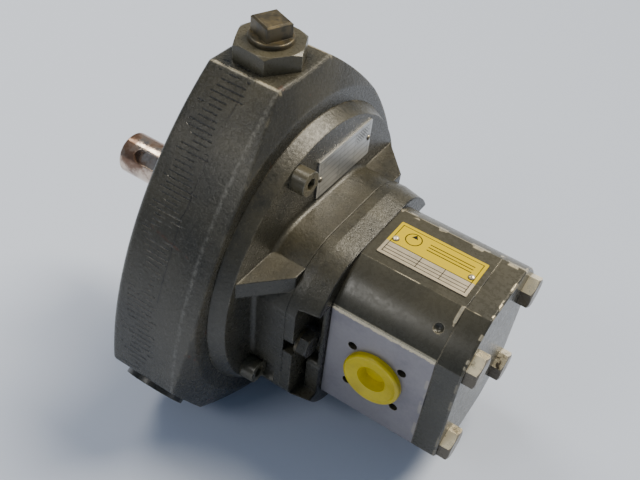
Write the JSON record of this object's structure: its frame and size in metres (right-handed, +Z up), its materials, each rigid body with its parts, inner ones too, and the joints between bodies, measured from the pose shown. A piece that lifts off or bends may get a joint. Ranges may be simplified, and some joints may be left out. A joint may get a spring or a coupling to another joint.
{
  "type": "hydraulic gear pump",
  "caption": "Tandem hydraulic pump: external gear pump with capped side ports, flanged through an adaptor to a lobed radial piston pump with a keyed drive shaft.",
  "frame": {"origin": "where the drive shaft's axis meets the casing's front mounting face", "axes": "+X along the shaft axis from the mounting face towards the gear stage, +Z up through the top pump element's plug, -Y towards the visible port"},
  "size_m": [0.2452, 0.2026, 0.2111],
  "materials": {
    "cast_paint": "dark olive grey paint over a rough casting",
    "body_paint": "satin dark grey paint on an extruded body",
    "cast_iron": "bare machined casting",
    "bare_aluminium": "machined",
    "ground_steel": "ground and polished",
    "zinc_steel": "worn zinc plating",
    "dark_steel": "black oxide",
    "bronze": "machined bronze",
    "seal_copper": "soft copper",
    "seal_rubber": "matt moulded rubber",
    "yellow_plastic": "moulded yellow plastic",
    "plate_metal": "etched plate",
    "label_foil": "printed foil, yellow and silver"
  },
  "bodies": {
    "housing": {"adaptor": "cast_paint", "adaptor_screws": "dark_steel", "adaptor_seal": "seal_rubber", "bearing_bushes": "bronze", "body_seal_front": "seal_rubber", "body_seal_rear": "seal_rubber", "casing": "cast_paint", "cover_bolts": "zinc_steel", "delivery_valve_balls": "ground_steel", "delivery_valve_springs": "ground_steel", "dowels": "ground_steel", "flange_bolts": "zinc_steel", "flange_washers": "zinc_steel", "front_bearing_block": "bare_aluminium", "front_bearing_outer_ring": "ground_steel", "front_block_seal": "seal_rubber", "front_cover": "cast_paint", "front_cover_screws": "dark_steel", "gear_body": "body_paint", "gear_shaft_seal": "seal_rubber", "hex_reducer": "cast_paint", "label_rivets": "ground_steel", "lower_plugs": "dark_steel", "name_plate": "plate_metal", "name_plate_rivets": "ground_steel", "piston_spring_far": "ground_steel", "piston_spring_near": "ground_steel", "piston_spring_top": "ground_steel", "plug_seals": "seal_copper", "port_cap_far": "yellow_plastic", "port_cap_near": "yellow_plastic", "pump_cylinders": "cast_iron", "pump_flange": "cast_paint", "rear_bearing_block": "bare_aluminium", "rear_bearing_outer_ring": "ground_steel", "rear_block_seal": "seal_rubber", "rear_cover": "body_paint", "shaft_seal": "seal_rubber", "type_label": "label_foil", "vent_plug": "zinc_steel"},
    "drive": {"drive_shaft": "ground_steel", "shaft_circlip": "dark_steel", "front_bearing_inner_ring": "ground_steel", "rear_bearing_inner_ring": "ground_steel", "coupling_disc": "ground_steel", "drive_gear": "ground_steel"},
    "eccentric": {"eccentric_ring": "ground_steel", "eccentric_bush": "bronze"},
    "driven": {"driven_gear": "ground_steel"},
    "front_ball_set": {"front_bearing_balls": "ground_steel", "front_bearing_cage": "bronze"},
    "rear_ball_set": {"rear_bearing_balls": "ground_steel", "rear_bearing_cage": "bronze"},
    "piston_top_body": {"piston_top": "ground_steel"},
    "piston_near_body": {"piston_near": "ground_steel"},
    "piston_far_body": {"piston_far": "ground_steel"}
  },
  "joints": [
    {"name": "shaft_spin", "type": "hinge", "parent": "housing", "child": "drive", "pos_m": [0, 0, 0], "axis": [1, 0, 0], "continuous": true},
    {"name": "ring_orbit", "type": "hinge", "parent": "drive", "child": "eccentric", "pos_m": [0.02, 0, 0.003], "axis": [1, 0, 0], "continuous": true},
    {"name": "driven_gear_spin", "type": "hinge", "parent": "housing", "child": "driven", "pos_m": [0.121, 0, -0.033], "axis": [1, 0, 0], "continuous": true},
    {"name": "front_cage_spin", "type": "hinge", "parent": "housing", "child": "front_ball_set", "pos_m": [0.0045, 0, 0], "axis": [1, 0, 0], "continuous": true},
    {"name": "rear_cage_spin", "type": "hinge", "parent": "housing", "child": "rear_ball_set", "pos_m": [0.0375, 0, 0], "axis": [1, 0, 0], "continuous": true},
    {"name": "piston_top_slide", "type": "slide", "parent": "housing", "child": "piston_top_body", "axis": [0, 0, 1], "range_m": [0, 0.0015], "stiffness_N_per_m": 2000, "deforming": ["piston_spring_top"]},
    {"name": "piston_near_slide", "type": "slide", "parent": "housing", "child": "piston_near_body", "axis": [0, -0.866, -0.5], "range_m": [0, 0.0015], "stiffness_N_per_m": 2000, "deforming": ["piston_spring_near"]},
    {"name": "piston_far_slide", "type": "slide", "parent": "housing", "child": "piston_far_body", "axis": [0, 0.866, -0.5], "range_m": [0, 0.0015], "stiffness_N_per_m": 2000, "deforming": ["piston_spring_far"]}
  ],
  "couplings": [
    {"joint": "ring_orbit", "follows": "shaft_spin", "ratio": -1},
    {"joint": "driven_gear_spin", "follows": "shaft_spin", "ratio": -1},
    {"joint": "front_cage_spin", "follows": "shaft_spin", "ratio": 0.416},
    {"joint": "rear_cage_spin", "follows": "shaft_spin", "ratio": 0.416}
  ]
}
